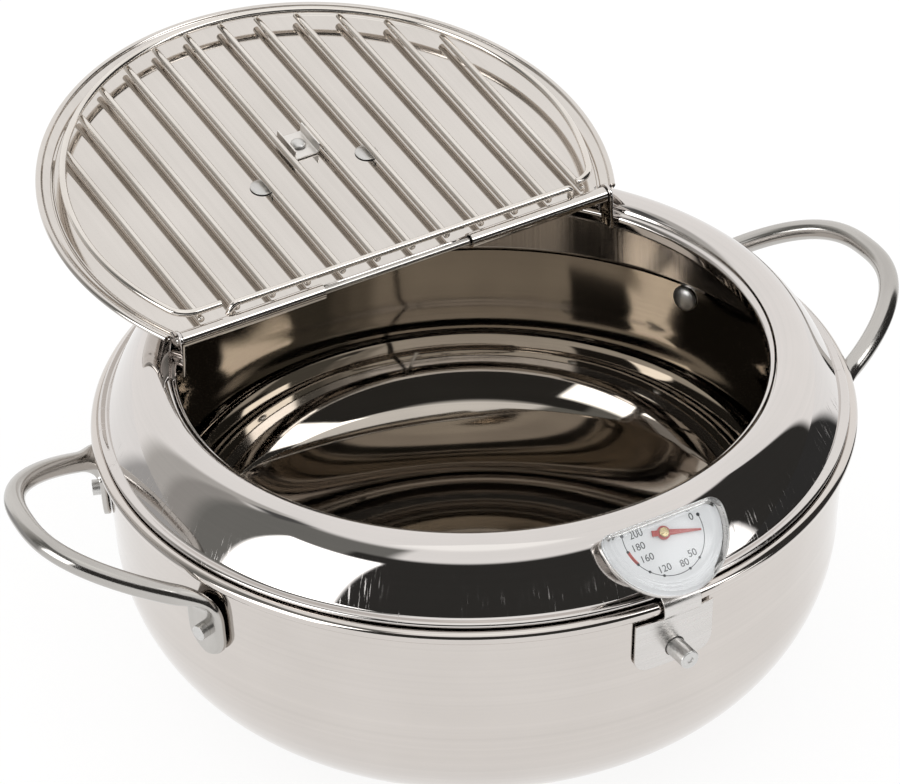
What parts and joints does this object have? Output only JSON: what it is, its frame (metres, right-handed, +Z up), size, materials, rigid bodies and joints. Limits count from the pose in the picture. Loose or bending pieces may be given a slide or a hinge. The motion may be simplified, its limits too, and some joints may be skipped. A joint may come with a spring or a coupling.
{
  "type": "deep fryer pot",
  "caption": "Round steel frying pot with a domed splash ring, a fold-back half-moon lid that holds a draining rack, two loop handles and a dial thermometer on the rim.",
  "frame": {"origin": "centre of the pot's flat underside", "axes": "+Z up, +X along the lid's hinge rod and through the two loop handles, -Y towards the thermometer, the open lid leans out over +Y"},
  "size_m": [0.319, 0.3209, 0.1477],
  "materials": {
    "polished_steel": "mirror-polished stainless steel sheet",
    "brushed_steel": "bright drawn stainless steel wire and tube",
    "rivet_steel": "satin steel rivets and stud",
    "brass": "plain brass",
    "dial_enamel": "pale grey enamelled dial plate",
    "red_enamel": "red painted pointer",
    "clear_cover": "clear cover with a bevelled edge"
  },
  "bodies": {
    "pot": {"pot_body": "polished_steel", "guard_ring": "polished_steel", "hinge_rod": "brushed_steel", "handle_left": "brushed_steel", "handle_right": "brushed_steel", "handle_left_rivet_front": "rivet_steel", "handle_left_rivet_back": "rivet_steel", "handle_right_rivet_front": "rivet_steel", "handle_right_rivet_back": "rivet_steel", "thermometer_stud": "rivet_steel"},
    "thermometer": {"thermometer_bracket": "polished_steel", "thermometer_case": "polished_steel", "dial_plate": "dial_enamel", "dial_lens": "clear_cover", "bimetal_coil": "brass", "thermometer_stem": "brushed_steel"},
    "pointer": {"pointer": "red_enamel", "pointer_hub": "brass"},
    "lid": {"lid_tray": "polished_steel", "lid_handle": "polished_steel", "lid_handle_rivet_left": "rivet_steel", "lid_handle_rivet_right": "rivet_steel", "rack_clip": "brushed_steel", "rack_clip_rivet": "rivet_steel"},
    "rack": {"rack_frame": "brushed_steel", "rack_front_rail": "brushed_steel", "rack_bar_01": "brushed_steel", "rack_bar_02": "brushed_steel", "rack_bar_03": "brushed_steel", "rack_bar_04": "brushed_steel", "rack_bar_05": "brushed_steel", "rack_bar_06": "brushed_steel", "rack_bar_07": "brushed_steel", "rack_bar_08": "brushed_steel", "rack_bar_09": "brushed_steel", "rack_bar_10": "brushed_steel", "rack_bar_11": "brushed_steel", "rack_bar_12": "brushed_steel"}
  },
  "joints": [
    {"name": "lid_hinge", "type": "hinge", "parent": "pot", "child": "lid", "pos_m": [0, 0.048, 0.121], "axis": [1, 0, 0], "range_deg": [0, 174.3]},
    {"name": "rack_lift", "type": "slide", "parent": "lid", "child": "rack", "axis": [0, -0.152, 0.9884], "range_m": [0, 0.025]},
    {"name": "thermometer_pull", "type": "slide", "parent": "pot", "child": "thermometer", "axis": [0, -1, 0], "range_m": [0, 0.008]},
    {"name": "pointer_turn", "type": "hinge", "parent": "thermometer", "child": "pointer", "pos_m": [-0.0008, -0.114, 0.1126], "axis": [0, 0.6401, -0.7683], "range_deg": [-21, 181], "stiffness_Nm_per_rad": 0.0001}
  ]
}
